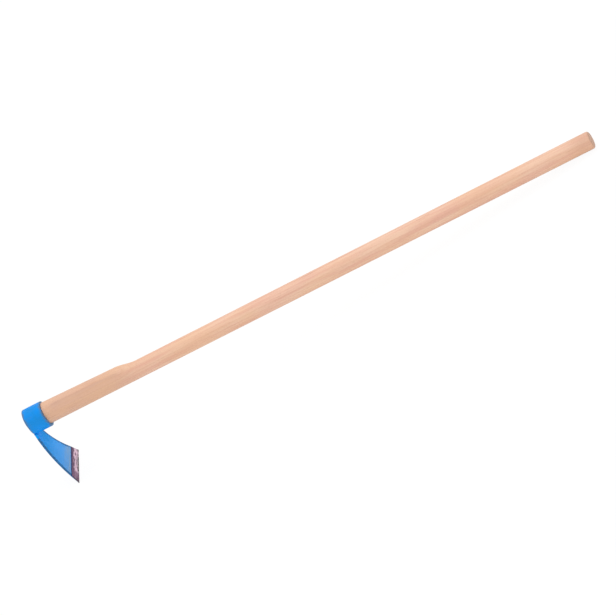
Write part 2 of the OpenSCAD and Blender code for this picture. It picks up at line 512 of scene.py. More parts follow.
@dataclass(frozen=True)
class BeechFinish(WoodFinish):
    """Sanded beech: pale and pinkish, with long streaks, small flecks and darker ends, where end grain and
    painted shade both darken it.
    """

    relief_depth: float = 0.00025
    relief_strength: float = 0.35
    pith: Point = (0.0, 0.034, -0.061)
    ring_spacing: float = 0.0034
    pale: Colour = srgb(242, 201, 174)
    deep: Colour = srgb(232, 179, 157)
    fibre_edges: Pair = (0.5, 0.8)
    fibre_share: float = 0.3
    late: Colour = srgb(214, 160, 128)
    late_share: float = 0.4
    vein: Colour = srgb(168, 116, 84)
    vein_share: float = 0.6
    fleck: Colour = srgb(176, 124, 98)
    fleck_share: float = 0.5
    warm: Colour = srgb(238, 190, 146)
    warm_share: float = 0.4
    warm_stretch: Point = (0.4, 1.0, 1.0)
    warm_scale: float = 22.0
    head: Colour = srgb(219, 175, 150)
    head_share: float = 0.75
    head_reach: Pair = (0.27, 0.17)
    grip: Colour = srgb(214, 164, 136)
    grip_share: float = 0.5
    grip_reach: Pair = (1.14, 1.185)
    planed: Colour = srgb(200, 158, 152)
    planed_share: float = 0.3
    # Colours of the ends: end grain, darkened further as painted shade on the end faces.
    end_pale: Colour = srgb(214, 172, 146)
    end_late: Colour = srgb(170, 128, 104)
    end_fibre_edges: Pair = (0.45, 0.75)
    end_fibre_share: float = 0.5
    roughness: Pair = (0.5, 0.68)

    def surface(self, canvas: Canvas, effects: Effects) -> Surface:
        """Places the wood, a little darker at the head, at the grip and on the planed flats.

        Args:
            canvas: The material's nodes.
            effects: The shared effects.

        Returns:
            The surface.
        """
        grain = self.grain(canvas, effects)
        along = canvas.axis(canvas.place, "X")
        held = {"Vector": canvas.stretch(canvas.place, self.warm_stretch), "Patch Scale": self.warm_scale}
        layers = (
            (canvas.step(along, self.head_reach), self.head_share, self.head),
            (canvas.step(along, self.grip_reach), self.grip_share, self.grip),
            (canvas.mark(Mark.PLANED), self.planed_share, self.planed),
            (grain["Ring"], self.late_share, self.late),
            (canvas.step(grain["Fibre"], self.fibre_edges), self.fibre_share, self.deep),
            (grain["Vein"], self.vein_share, self.vein),
            (grain["Fleck"], self.fleck_share, self.fleck),
            (canvas.effect(effects.handling, held)["Patches"], self.warm_share, self.warm),
        )
        side = canvas.blend(grain["Streak"], self.pale, self.deep)
        for mask, share, colour in layers:
            side = canvas.glaze(side, mask, share, colour)
        open_fibres = canvas.step(grain["Fibre"], self.end_fibre_edges)
        end = canvas.blend(grain["Ring"], self.end_pale, self.end_late)
        end = canvas.glaze(end, open_fibres, self.end_fibre_share, self.end_late)
        # Ends take the darker end-grain colour, which is partly painted shade.
        colour = canvas.blend(canvas.mark(Mark.RIM), side, end)
        rough = canvas.step(grain["Fibre"], self.roughness_edges, self.roughness)
        return Surface(colour, rough, 0.0, grain["Height"])


@dataclass(frozen=True)
class SawnWoodFinish(WoodFinish):
    """Sawn hardwood of the wedge, browner than the handle."""

    relief_depth: float = 0.0004
    pith: Point = (0.0, 0.05, 0.02)
    ring_spacing: float = 0.0026
    pale: Colour = srgb(206, 164, 124)
    deep: Colour = srgb(176, 128, 88)
    fleck: Colour = srgb(128, 88, 56)
    late_share: float = 0.6
    fleck_share: float = 0.5
    roughness: Pair = (0.6, 0.8)

    def surface(self, canvas: Canvas, effects: Effects) -> Surface:
        """Places the wedge's wood.

        Args:
            canvas: The material's nodes.
            effects: The shared effects.

        Returns:
            The surface.
        """
        grain = self.grain(canvas, effects)
        colour = canvas.blend(grain["Fibre"], self.pale, self.deep)
        colour = canvas.glaze(colour, grain["Ring"], self.late_share, self.fleck)
        colour = canvas.glaze(colour, grain["Fleck"], self.fleck_share, self.fleck)
        rough = canvas.step(grain["Fibre"], self.roughness_edges, self.roughness)
        return Surface(colour, rough, 0.0, grain["Height"])


@dataclass(frozen=True)
class EnamelFinish(Finish):
    """Blue enamel on steel: uneven in thickness, thin and chipped along the rims, where the darker thin paint
    is partly painted shade.
    """

    specular: float = 0.16
    relief_depth: float = 0.00012
    bright: Colour = srgb(8, 148, 243)
    even: Colour = srgb(20, 144, 226)
    # Thin paint at worn rims, which also serves as painted shade on shaded edges.
    thin: Colour = srgb(84, 126, 168)
    steel: Colour = srgb(122, 132, 144)
    patch_scale: float = 38.0
    runs: Pattern = Pattern((60.0, 160.0, 22.0), edges=(0.55, 0.8))
    run_share: float = 0.25
    peel: Pattern = Pattern((620.0, 620.0, 620.0))
    roughness: Pair = (0.46, 0.6)
    chip_scale: float = 560.0
    chip_amount: float = 0.46
    chip_roughness: float = 0.2
    chip_depth: float = 0.8

    def coat(self, canvas: Canvas, effects: Effects, patches: Socket) -> Socket:
        """Mixes the colour of the paint before wear, from where it lies thicker."""
        return canvas.blend(patches, self.bright, self.even)

    def surface(self, canvas: Canvas, effects: Effects) -> Surface:
        """Places the paint, its runs and its wear.

        Args:
            canvas: The material's nodes.
            effects: The shared effects.

        Returns:
            The surface.
        """
        rim_wear_and_shade = {
            "Rim": canvas.mark(Mark.RIM),
            "Amount": self.chip_amount,
            "Chip Scale": self.chip_scale,
        }
        patches = canvas.effect(effects.handling, {"Patch Scale": self.patch_scale})["Patches"]
        wear = canvas.effect(effects.edge_wear_and_shade, rim_wear_and_shade)
        chips = wear["Chips"]
        colour = self.coat(canvas, effects, patches)
        colour = canvas.glaze(colour, canvas.pattern(canvas.place, self.runs), self.run_share, self.thin)
        # Darker thin paint along the marked rims: worn paint, and on some rims painted shade.
        colour = canvas.blend(wear["Thin And Shade"], colour, self.thin)
        colour = canvas.blend(chips, colour, self.steel)
        rough = canvas.step(patches, FULL, self.roughness)
        rough = canvas.math("MULTIPLY_ADD", chips, self.chip_roughness, rough)
        height = canvas.math("MULTIPLY_ADD", chips, -self.chip_depth, canvas.pattern(canvas.place, self.peel))
        return Surface(colour, rough, chips, height)


@dataclass(frozen=True)
class BladeFinish(EnamelFinish):
    """Enamel that ends at the ground bevel, where the steel is bare, scratched and partly burnt.

    Each reach gives two distances past the line where the grinding starts, in metres: where a change
    begins and where it is complete. Sides give two places across the blade in the same way.
    """

    specular: float = 0.06
    relief_strength: float = 0.6
    bright: Colour = srgb(6, 158, 246)
    even: Colour = srgb(14, 151, 232)
    # Thin paint at worn rims, which also serves as painted shade along the blade's sides.
    thin: Colour = srgb(52, 106, 156)
    steel: Colour = srgb(84, 96, 116)
    # Paler blue towards the bevel: painted light, for the lower blade catching more light.
    pale: Colour = srgb(92, 168, 244)
    painted_light_reach: Pair = (-0.085, -0.01)
    painted_light_share: float = 0.75
    streak: Colour = srgb(138, 170, 198)
    streak_reach: Pair = (-0.026, -0.006)
    streak_share: float = 0.85
    streak_scale: float = 300.0
    line: Colour = srgb(36, 40, 82)
    line_reach: Pair = (-0.003, -0.0006)
    bare_reach: Pair = (0.0, 0.0003)
    wobble: Pattern = Pattern((160.0, 90.0, 160.0), 4.0, 0.6)
    ragged: float = 0.0012
    clean: Colour = srgb(244, 210, 227)
    scratch_scale: float = 230.0
    scratch_edges: Pair = (0.42, 0.7)
    scratch_share: float = 0.55
    mottle: Pattern = Pattern((330.0, 60.0, 330.0), 7.0, 0.72)
    uneven: float = 0.02
    burnt: Colour = srgb(106, 78, 104)
    burnt_reach: Pair = (0.0102, 0.004)
    worn: Colour = srgb(78, 74, 72)
    worn_reach: Pair = (0.0118, 0.018)
    corner: Colour = srgb(122, 88, 116)
    corner_sides: Pair = (-0.018, -0.029)
    corner_share: float = 0.8
    tip: Colour = srgb(66, 62, 66)
    tip_sides: Pair = (-0.043, -0.049)
    tip_share: float = 0.75
    gloss_edges: Pair = (0.3, 0.7)
    gloss: Pair = (0.34, 0.6)
    bare_metallic: float = 0.55

    def coat(self, canvas: Canvas, effects: Effects, patches: Socket) -> Socket:
        """Mixes the paint, made lighter towards the bevel as painted light, and streaked there along the
        cutting edge.

        Args:
            canvas: The material's nodes.
            effects: The shared effects.
            patches: Where the paint lies thicker.

        Returns:
            The colour.
        """
        ground = canvas.mark(Mark.GROUND)
        bands = canvas.effect(effects.grind_marks, {"Band Scale": self.streak_scale})["Bands"]
        streaks = canvas.math("MULTIPLY", canvas.step(ground, self.streak_reach), bands)
        colour = super().coat(canvas, effects, patches)
        # Painted light: the paint grows paler towards the bevel.
        colour = canvas.glaze(colour, canvas.step(ground, self.painted_light_reach), self.painted_light_share, self.pale)
        return canvas.glaze(colour, streaks, self.streak_share, self.streak)

    def bevel_colour(self, canvas: Canvas, past: Socket, scratches: Socket) -> Socket:
        """Mixes the colour of the bare steel: burnt at the top of the bevel and worn dark at the edge.

        Args:
            canvas: The material's nodes.
            past: Distance past the line where the grinding starts.
            scratches: The marks of the grindstone.

        Returns:
            The colour.
        """
        spread = canvas.jitter(past, canvas.pattern(canvas.place, self.mottle), self.uneven)
        scored = canvas.step(scratches, self.scratch_edges)
        side = canvas.axis(canvas.place, "Y")
        colour = canvas.glaze(self.clean, scored, self.scratch_share, self.steel)
        colour = canvas.blend(canvas.step(spread, self.burnt_reach), colour, self.burnt)
        colour = canvas.blend(canvas.step(spread, self.worn_reach), colour, self.worn)
        colour = canvas.glaze(colour, canvas.step(side, self.corner_sides), self.corner_share, self.corner)
        return canvas.glaze(colour, canvas.step(side, self.tip_sides), self.tip_share, self.tip)

    def surface(self, canvas: Canvas, effects: Effects) -> Surface:
        """Places the enamel and the ground steel, parted along a ragged line.

        Args:
            canvas: The material's nodes.
            effects: The shared effects.

        Returns:
            The surface.
        """
        paint = super().surface(canvas, effects)
        ragged = canvas.pattern(canvas.place, self.wobble)
        past = canvas.jitter(canvas.mark(Mark.GROUND), ragged, self.ragged)
        bare = canvas.step(past, self.bare_reach)
        grind = canvas.effect(effects.grind_marks, {"Band Scale": self.scratch_scale})
        edged = canvas.blend(canvas.step(past, self.line_reach), paint.colour, self.line)
        steel = self.bevel_colour(canvas, past, grind["Scratches"])
        steel_rough = canvas.step(grind["Scratches"], self.gloss_edges, self.gloss)
        steel_metallic = canvas.math("MULTIPLY", bare, self.bare_metallic)
        return Surface(
            colour=canvas.blend(bare, edged, steel),
            roughness=canvas.between(bare, paint.roughness, steel_rough),
            metallic=canvas.math("MAXIMUM", paint.metallic, steel_metallic),
            height=canvas.between(bare, paint.height, grind["Height"]),
        )


@dataclass(frozen=True)
class BareSteelFinish(Finish):
    """Bare steel of the wedge, scratched, with a breath of rust."""

    relief_depth: float = 0.00015
    relief_strength: float = 0.6
    clean: Colour = srgb(176, 172, 172)
    dark: Colour = srgb(96, 92, 92)
    rust: Colour = srgb(122, 78, 52)
    rust_share: float = 0.45
    band_scale: float = 700.0
    patch_scale: float = 160.0
    roughness: Pair = (0.32, 0.62)
    metallic_edges: Pair = (0.2, 1.0)
    metallic: Pair = (0.95, 0.45)

    def surface(self, canvas: Canvas, effects: Effects) -> Surface:
        """Places the bare steel.

        Args:
            canvas: The material's nodes.
            effects: The shared effects.

        Returns:
            The surface.
        """
        grind = canvas.effect(effects.grind_marks, {"Band Scale": self.band_scale})
        patches = canvas.effect(effects.handling, {"Patch Scale": self.patch_scale})["Patches"]
        colour = canvas.blend(grind["Bands"], self.dark, self.clean)
        colour = canvas.glaze(colour, patches, self.rust_share, self.rust)
        rough = canvas.step(patches, FULL, self.roughness)
        metallic = canvas.step(patches, self.metallic_edges, self.metallic)
        return Surface(colour, rough, metallic, grind["Height"])


ENAMEL = EnamelFinish("blue_enamel")


class Box(NamedTuple):
    """Lowest and highest corner of a part, in the tool's own frame."""

    low: Vector
    high: Vector

    @property
    def size(self) -> Vector:
        """Gives the box's length, width and height."""
        return self.high - self.low


class Tool:
    """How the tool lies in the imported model, and how large its parts are along its own axes."""

    def __init__(self, packed: dict) -> None:
        """Finds the tool's own frame: along the grip's axis, from the front of the eye.

        Args:
            packed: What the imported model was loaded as.
        """
        mount = next(m for m in packed["record"]["mounts"] if m["name"] == GRIP_MOUNT)
        self.nodes = packed["nodes"]
        self.shaft_radius = mount["dims"]["r_mm"] * MILLIMETRE
        along, side = Vector(mount["axis"]).normalized(), Vector((0.0, 1.0, 0.0))
        turn = Matrix((along, side, along.cross(side))).transposed()
        self.lie = Matrix.Translation(mount["pos_m"]) @ turn.to_4x4()
        front = self.box(Part.EYE_RING).low.x
        self.lie = self.lie @ Matrix.Translation((front, 0.0, 0.0))

    def box(self, part: Part) -> Box:
        """Measures a part.

        Args:
            part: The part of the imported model.

        Returns:
            Its box in the tool's own frame.
        """
        back = self.lie.inverted()
        axes = list(zip(*(back @ vertex.co for vertex in self.nodes[part.node].data.vertices)))
        return Box(Vector(map(min, axes)), Vector(map(max, axes)))


class Workshop:
    """Dresses the pieces: each finish is built once, and every piece is laid down with the tool."""

    def __init__(self, tool: Tool) -> None:
        """Sets up the shared effects.

        Args:
            tool: The tool that is dressed.
        """
        self.lie = tool.lie
        self.effects = Effects(tool.lie)
        self.materials: dict[Finish, bpy.types.Material] = {}

    def dress(
        self, piece: bpy.types.Object, part: Part, finish: Finish, sharp: float, marks: Marks | None = None
    ) -> bpy.types.Object:
        """Shades and finishes a piece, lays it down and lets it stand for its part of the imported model.

        Args:
            piece: The piece, drawn in the tool's own frame.
            part: The part that it stands for.
            finish: Its finish.
            sharp: The angle in degrees above which an edge stays sharp.
            marks: What works out each value that its points carry, from their places.

        Returns:
            The piece.
        """
        if finish not in self.materials:
            self.materials[finish] = finish.material(self.effects)
        mesh = piece.data
        mesh.shade_smooth()
        mesh.set_sharp_from_angle(angle=math.radians(sharp))
        for mark, value in (marks or {}).items():
            attribute = mesh.attributes.new(mark.value, "FLOAT", "POINT")
            attribute.data.foreach_set("value", [value(vertex.co) for vertex in mesh.vertices])
        mesh.transform(self.lie)
        mesh.materials.append(self.materials[finish])
        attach(piece, BODY)
        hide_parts(part.node)
        return piece


def make_object(name: str, points: Sequence[Point], faces: Sequence[Sequence[int]]) -> bpy.types.Object:
    """Makes a mesh object with all its faces turned outwards, and puts it in the scene.

    Args:
        name: The piece's name.
        points: Its points.
        faces: Its faces, as places in the list of points.

    Returns:
        The new object.
    """
    shell = bmesh.new()
    corners = [shell.verts.new(point) for point in points]
    for face in faces:
        shell.faces.new([corners[i] for i in face])
    bmesh.ops.recalc_face_normals(shell, faces=shell.faces)
    mesh = bpy.data.meshes.new(name)
    shell.to_mesh(mesh)
    shell.free()
    piece = bpy.data.objects.new(name, mesh)
    bpy.context.scene.collection.objects.link(piece)
    return piece


def skin(rings: Sequence[Ring], closed: bool = False) -> tuple[list[Point], list[Sequence[int]]]:
    """Lists the points and the faces between equal closed rings of points.

    Args:
        rings: The rings, in order.
        closed: Whether the last ring joins the first.

    Returns:
        The points, and the faces as places in their list.
    """
    count = len(rings[0])
    faces: list[Sequence[int]] = []
    for ring in range(len(rings) if closed else len(rings) - 1):
        low, high = ring * count, (ring + 1) % len(rings) * count
        for i in range(count):
            after = (i + 1) % count
            faces.append((low + i, low + after, high + after, high + i))
    return [point for ring in rings for point in ring], faces


def loft(name: str, rings: Sequence[Ring], closed: bool = False) -> bpy.types.Object:
    """Skins equal closed rings of points.

    Args:
        name: The piece's name.
        rings: The rings, in order.
        closed: Whether the last ring joins the first, in place of a cap at each end.

    Returns:
        The new object.
    """
    points, faces = skin(rings, closed)
    count, total = len(rings[0]), len(points)
    if not closed:
        faces += [range(count), range(total - count, total)]
    return make_object(name, points, faces)


def cut(piece: bpy.types.Object, tools: Sequence[bpy.types.Object]) -> None:
    """Cuts shapes out of a mesh and removes the shapes.

    Args:
        piece: The mesh object that is cut.
        tools: The closed shapes that are taken out of it.
    """
    for tool in tools:
        cutter = piece.modifiers.new("cut", "BOOLEAN")
        cutter.operation = "DIFFERENCE"
        cutter.solver = "EXACT"
        cutter.object = tool
    shown = piece.evaluated_get(bpy.context.evaluated_depsgraph_get())
    mesh = bpy.data.meshes.new_from_object(shown)
    piece.modifiers.clear()
    old, piece.data = piece.data, mesh
    bpy.data.meshes.remove(old)
    mesh.name = piece.name
    for tool in tools:
        bpy.data.objects.remove(tool)


def oval_point(x: float, radius: float, rise: float, turn: float) -> Point:
    """Finds a point on an oval round the handle: a circle whose upper half is lifted.

    Args:
        x: Place along the handle.
        radius: Radius of both halves.
        rise: Lift of the upper half.
        turn: Angle round the handle, in radians, from +Y up.

    Returns:
        The point.
    """
    lift = rise if math.sin(turn) > 0 else 0.0
    return (x, radius * math.cos(turn), radius * math.sin(turn) + lift)


def turns_round(count: int) -> list[float]:
    """Lists even angles round a full turn, half a step off the axes."""
    return [2 * math.pi * (i + 0.5) / count for i in range(count)]


def quarter(steps: int) -> list[Pair]:
    """Lists sine and cosine over a quarter turn, ends included."""
    angles = (math.pi / 2 * i / steps for i in range(steps + 1))
    return [(math.sin(angle), math.cos(angle)) for angle in angles]


@dataclass(frozen=True)
class Eye:
    """Sizes of the eye and of the handle's end in it, which several pieces share."""

    length: float
    rise: float
    outer_radius: float
    tenon_radius: float
    end_proud: float
    clearance: float = 0.0001

    @classmethod
    def measured(cls, tool: Tool) -> "Eye":
        """Reads the sizes from the ring and from the wooden wedge, which is as tall as the handle's end.

        Args:
            tool: The tool.

        Returns:
            The sizes.
        """
        ring, wedge = tool.box(Part.EYE_RING), tool.box(Part.WOOD_WEDGE)
        return cls(
            length=ring.size.x,
            rise=wedge.high.z + wedge.low.z,
            outer_radius=ring.high.y,
            tenon_radius=-wedge.low.z,
            end_proud=-wedge.low.x,
        )


class Station(NamedTuple):
    """One rectangle of a bar along the handle, with its corners cut off."""

    x: float
    half_width: float
    low: float
    high: float
    corner: float

    def ring(self) -> Ring:
        """Lists the rectangle's eight points.

        Returns:
            The points, in order round the bar.
        """
        inset = self.half_width - self.corner
        upper = [(self.half_width, self.high - self.corner), (inset, self.high)]
        lower = [(inset, self.low), (self.half_width, self.low + self.corner)]
        left = [(-y, z) for y, z in reversed(upper)] + [(-y, z) for y, z in reversed(lower)]
        return [(self.x, y, z) for y, z in upper + left + lower]


@dataclass
class Wedges:
    """A wooden wedge upright in the handle's end, and a steel wedge driven across it."""

    tool: Tool
    eye: Eye
    wood_finish: Finish = SawnWoodFinish("sawn_wedge_wood")
    steel_finish: Finish = BareSteelFinish("bare_steel")
    wood_tip: float = 0.0012
    steel_tip: float = 0.0008
    overrun: float = 0.002
    edge_round: float = 0.0003
    dome_steps: int = 4
    wood_sharp: float = 20.0
    steel_sharp: float = 30.0

    def __post_init__(self) -> None:
        """Reads the wedges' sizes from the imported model."""
        self.wood = self.tool.box(Part.WOOD_WEDGE)
        self.steel = self.tool.box(Part.STEEL_WEDGE)

    def wood_station(self, x: float, over: float) -> Station:
        """Finds the wooden wedge's section.

        Args:
            x: Place along the handle.
            over: Height past the top and bottom of the handle's end.

        Returns:
            The section.
        """
        share = (x - self.wood.low.x) / self.wood.size.x
        half = (self.wood.size.y + (self.wood_tip - self.wood.size.y) * share) / 2
        return Station(x, half, self.wood.low.z - over, self.wood.high.z + over, self.edge_round / 2)

    def steel_station(self, x: float, inset: float, corner: float) -> Station:
        """Finds the steel wedge's section.

        Args:
            x: Place along the handle.
            inset: How much smaller the section is all round.
            corner: How much is cut off its corners.

        Returns:
            The section.
        """
        share = (x - self.steel.low.x) / self.steel.size.x
        half = (self.steel.size.z + (self.steel_tip - self.steel.size.z) * share) / 2 - inset
        middle = self.eye.rise / 2
        return Station(x, self.steel.high.y - inset, middle - half, middle + half, corner)

    def wood_bar(self, name: str, extra: float, over: float) -> bpy.types.Object:
        """Shapes the wooden wedge, or what is cut out for it.

        Args:
            name: The piece's name.
            extra: Length past the handle's end.
            over: Height past the top and bottom of the handle's end.

        Returns:
            The bar.
        """
        places = (self.wood.low.x - extra, self.wood.high.x)
        return loft(name, [self.wood_station(x, over).ring() for x in places])

    def steel_cutter(self) -> bpy.types.Object:
        """Shapes what is cut out of the wood for the steel wedge."""
        places = (self.wood.low.x - self.overrun, self.steel.high.x)
        return loft("steel_cutter", [self.steel_station(x, 0.0, self.edge_round / 2).ring() for x in places])

    def cutters(self) -> list[bpy.types.Object]:
        """Shapes what is cut out of the handle for both wedges."""
        return [self.wood_bar("wood_cutter", self.overrun, self.overrun), self.steel_cutter()]

    def steel_bar(self) -> bpy.types.Object:
        """Shapes the steel wedge with its edges broken and its head a little domed by the hammer.

        Returns:
            The wedge.
        """
        proud = self.wood.low.x - self.steel.low.x
        stations = []
        for sine, cosine in quarter(self.dome_steps):
            x = self.wood.low.x - proud * cosine
            stations.append(self.steel_station(x, proud * (1 - sine), self.edge_round))
        stations.append(self.steel_station(self.steel.high.x, 0.0, self.edge_round))
        return loft("wedge_of_steel", [station.ring() for station in stations])

    def build(self, workshop: Workshop) -> list[bpy.types.Object]:
        """Builds and dresses both wedges.

        Args:
            workshop: Dresses the pieces.

        Returns:
            The pieces.
        """
        wood = self.wood_bar("wedge_of_wood", 0.0, -self.edge_round)
        cut(wood, [self.steel_cutter()])
        return [
            workshop.dress(wood, Part.WOOD_WEDGE, self.wood_finish, self.wood_sharp),
            workshop.dress(self.steel_bar(), Part.STEEL_WEDGE, self.steel_finish, self.steel_sharp),
        ]


@dataclass
class Handle:
    """The beech handle: an end in the eye, a raised head with planed flats, a shoulder and a round shaft."""

    tool: Tool
    eye: Eye
    wedges: Wedges
    finish: Finish = BeechFinish("beech")
    butt_round: float = 0.005
    head_length: float = 0.158
    step_rise: float = 0.0071
    shoulder_length: float = 0.044
    end_chamfer: float = 0.0007
    stop_round: float = 0.0014
    flat_cut: float = 0.0016
    flat_tilt: float = math.radians(33.0)
    flat_start: Pair = (0.004, 0.026)
    flat_end: Pair = (-0.006, 0.014)
    flat_edge: float = 0.00005
    end_grain_and_shade_shares: Pair = (0.6, 0.1)
    sides: int = 112
    chamfer_steps: int = 3
    stop_steps: int = 5
    head_steps: int = 32
    shoulder_steps: int = 20
    shaft_steps: int = 16
    butt_steps: int = 10
    sharp: float = 40.0

    def __post_init__(self) -> None:
        """Works out the places along the handle and the way that its flats face."""
        box = self.tool.box(Part.HANDLE)
        self.radius = self.tool.shaft_radius
        self.head_rise = box.high.z - self.radius
        self.head_x = self.eye.length + self.eye.clearance
        self.step_x = self.head_x + self.head_length
        self.shaft_x = self.step_x + self.shoulder_length
        self.butt_x = box.high.x
        self.flat_across, self.flat_up = math.cos(self.flat_tilt), math.sin(self.flat_tilt)

    def flat_depth(self, x: float) -> float:
        """Finds how deep the flats on the head's sides are planed at a place along the handle.

        Args:
            x: The place.

        Returns:
            The depth, which is 0 away from the head.
        """
        begun = smooth_share(x - self.head_x, *self.flat_start)
        ended = smooth_share(x - self.step_x, *self.flat_end)
        return self.flat_cut * begun * (1 - ended)

    def past_flat(self, point: Vector, radius: float, rise: float) -> float:
        """Finds how far a point lies outside the flat on its side of the head.

        Args:
            point: The point.
            radius: Radius of both halves of the oval there.
            rise: Lift of the oval's upper half there.

        Returns:
            The distance, which is below 0 inside the flat.
        """
        limit = radius + rise * self.flat_up - self.flat_depth(point.x)
        return abs(point.y) * self.flat_across + point.z * self.flat_up - limit

    def ring(self, x: float, radius: float, rise: float) -> Ring:
        """Lists the points of one section: an oval with a flat on either side of its upper half.

        Args:
            x: Place along the handle.
            radius: Radius of both halves of the oval.
            rise: Lift of its upper half.

        Returns:
            The points, in order round the handle.
        """
        ring: Ring = []
        for turn in turns_round(self.sides):
            point = Vector(oval_point(x, radius, rise, turn))
            over = max(0.0, self.past_flat(point, radius, rise))
            point -= over * Vector((0.0, math.copysign(self.flat_across, point.y), self.flat_up))
            ring.append(tuple(point))
        return ring

    def rise_at(self, x: float) -> float:
        """Finds the lift of the upper half behind the eye: falling along the head, then down the shoulder.

        Args:
            x: Place along the handle.

        Returns:
            The lift.
        """
        if x < self.step_x:
            share = (x - self.head_x) / self.head_length
            return self.head_rise + (self.step_rise - self.head_rise) * share
        share = min(1.0, (x - self.step_x) / self.shoulder_length)
        return self.step_rise * (1 + math.cos(math.pi * share)) / 2

    def eye_rings(self) -> list[Ring]:
        """Lists the sections of the end in the eye and of the rounded stop behind it.

        Returns:
            The sections, from the front.
        """
        rings: list[Ring] = []
        tenon, rise = self.eye.tenon_radius, self.eye.rise
        for sine, cosine in quarter(self.chamfer_steps):
            x = self.end_chamfer * (1 - cosine) - self.eye.end_proud
            rings.append(self.ring(x, tenon - self.end_chamfer * (1 - sine), rise))
        rings += [self.ring(x, tenon, rise) for x in (self.eye.length / 2, self.eye.length)]
        for sine, cosine in quarter(self.stop_steps):
            x = self.head_x + self.stop_round * (1 - cosine)
            radius = self.radius - (self.radius - tenon) * (1 - sine)
            rings.append(self.ring(x, radius, self.head_rise - self.stop_round * (1 - sine)))
        return rings

    def head_rings(self) -> list[Ring]:
        """Lists the sections of the raised head and of its shoulder.

        Returns:
            The sections, from the front.
        """
        head = [self.head_x + self.head_length * i / self.head_steps for i in range(1, self.head_steps)]
        shoulder = [
            self.step_x + self.shoulder_length * i / self.shoulder_steps
            for i in range(self.shoulder_steps + 1)
        ]
        return [self.ring(x, self.radius, self.rise_at(x)) for x in head + shoulder]

    def shaft_rings(self) -> list[Ring]:
        """Lists the sections of the round shaft and of its rounded end.

        Returns:
            The sections, from the front.
        """
        rings: list[Ring] = []
        straight = self.butt_x - self.butt_round - self.shaft_x
        for i in range(1, self.shaft_steps):
            rings.append(self.ring(self.shaft_x + straight * i / self.shaft_steps, self.radius, 0.0))
        for sine, cosine in quarter(self.butt_steps):
            x = self.butt_x - self.butt_round * (1 - sine)
            rings.append(self.ring(x, self.radius - self.butt_round * (1 - cosine), 0.0))
        return rings

    def rim(self, point: Vector) -> float:
        """Tells how near a point lies to an end, whose cut fibres are drawn darker as end grain and as
        painted shade.
        """
        edges = (self.butt_x - self.butt_round * share for share in self.end_grain_and_shade_shares)
        return max(1 - smooth_share(point.x, 0.0, self.end_chamfer), smooth_share(point.x, *edges))

    def planed(self, point: Vector) -> float:
        """Tells how far the flat is planed where a point lies on it.

        Args:
            point: The point.

        Returns:
            1 on a flat of full depth and 0 beside the flats.
        """
        depth = self.flat_depth(point.x)
        past = self.past_flat(point, self.radius, self.rise_at(point.x))
        return depth / self.flat_cut if past > -self.flat_edge else 0.0

    def build(self, workshop: Workshop) -> list[bpy.types.Object]:
        """Builds and dresses the handle, with the cuts that its wedges sit in.

        Args:
            workshop: Dresses the piece.

        Returns:
            The piece.
        """
        piece = loft("handle_beech", self.eye_rings() + self.head_rings() + self.shaft_rings())
        cut(piece, self.wedges.cutters())
        marks = {Mark.RIM: self.rim, Mark.PLANED: self.planed}
        return [workshop.dress(piece, Part.HANDLE, self.finish, self.sharp, marks)]


@dataclass
class EyeRing:
    """The oval band that holds the handle, with rounded rims and a slightly crowned outside."""

    eye: Eye
    finish: Finish = ENAMEL
    outer_round: float = 0.0011
    inner_round: float = 0.0007
    crown: float = 0.0002
    # Reach of the darker rims: worn paint, and at the rear rim partly painted shade.
    rear_wear_and_shade: Pair = (0.00066, 0.0055)
    front_wear: Pair = (0.0006, 0.0065)
    turns: int = 128
    crown_steps: int = 8
    outer_steps: int = 4
    inner_steps: int = 3
    sharp: float = 50.0

    def profile(self) -> list[Pair]:
        """Lists the band's section, as place along the handle and radius.

        Returns:
            The points, along the outside and back along the inside.
        """
        length, outer, inner = self.eye.length, self.outer_round, self.inner_round
        bore = self.eye.tenon_radius + self.eye.clearance
        edge = self.eye.outer_radius - self.crown
        section: list[Pair] = []
        for i in range(self.crown_steps + 1):
            share = i / self.crown_steps
            bow = self.crown * (2 * share - 1) ** 2
            section.append((outer + (length - 2 * outer) * share, self.eye.outer_radius - bow))
        for sine, cosine in quarter(self.outer_steps)[1:]:
            section.append((length - outer * (1 - sine), edge - outer * (1 - cosine)))
        for sine, cosine in quarter(self.inner_steps):
            section.append((length - inner * (1 - cosine), bore + inner * (1 - sine)))
        for sine, cosine in quarter(self.inner_steps):
            section.append((inner * (1 - sine), bore + inner * (1 - cosine)))
        for sine, cosine in quarter(self.outer_steps)[:-1]:
            section.append((outer * (1 - cosine), edge - outer * (1 - sine)))
        return section

    def rim(self, point: Vector) -> float:
        """Tells how near a point lies to one of the rims, which are darkened as worn paint, at the rear rim
        partly as painted shade.
        """
        rear = smooth_share(self.eye.length - point.x, *self.rear_wear_and_shade)
        return 1 - min(rear, smooth_share(point.x, *self.front_wear))

    def build(self, workshop: Workshop) -> list[bpy.types.Object]:
        """Builds and dresses the band.

        Args:
            workshop: Dresses the piece.

        Returns:
            The piece.
        """
        section = self.profile()
        rings = [
            [oval_point(x, radius, self.eye.rise, turn) for x, radius in section]
            for turn in turns_round(self.turns)
        ]
        piece = loft("eye_ring_enamelled", rings, closed=True)
        return [workshop.dress(piece, Part.EYE_RING, self.finish, self.sharp, {Mark.RIM: self.rim})]


